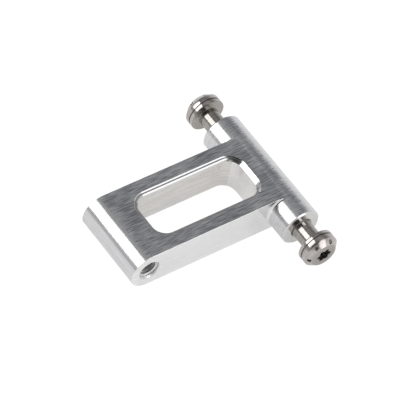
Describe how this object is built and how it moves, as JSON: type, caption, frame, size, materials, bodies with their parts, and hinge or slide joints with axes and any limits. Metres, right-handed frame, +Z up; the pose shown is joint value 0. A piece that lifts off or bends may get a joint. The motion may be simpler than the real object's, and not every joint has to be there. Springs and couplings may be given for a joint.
{
  "type": "slotted pivot link",
  "caption": "T-shaped machined aluminium pivot link with a slotted arm, a threaded round end and a cross barrel carrying a shoulder bolt at each end.",
  "frame": {"origin": "middle of the pivot axis, inside the cross barrel", "axes": "+X from the threaded round end to the barrel, +Y along the pivot axis towards the back bolt, +Z up out of the chamfered side of the slot"},
  "size_m": [0.0573, 0.0606, 0.012],
  "materials": {
    "arm_aluminium": "brushed top face, satin machined sides",
    "bolt_metal": "polished, turned"
  },
  "bodies": {
    "link": {"link_arm": "arm_aluminium"},
    "bolt_front": {"pivot_bolt_front": "bolt_metal"},
    "bolt_back": {"pivot_bolt_back": "bolt_metal"}
  },
  "joints": [
    {"name": "front_bolt_unscrew", "type": "slide", "parent": "link", "child": "bolt_front", "axis": [0, -1, 0], "range_m": [0, 0.012]},
    {"name": "back_bolt_unscrew", "type": "slide", "parent": "link", "child": "bolt_back", "axis": [0, 1, 0], "range_m": [0, 0.012]}
  ]
}
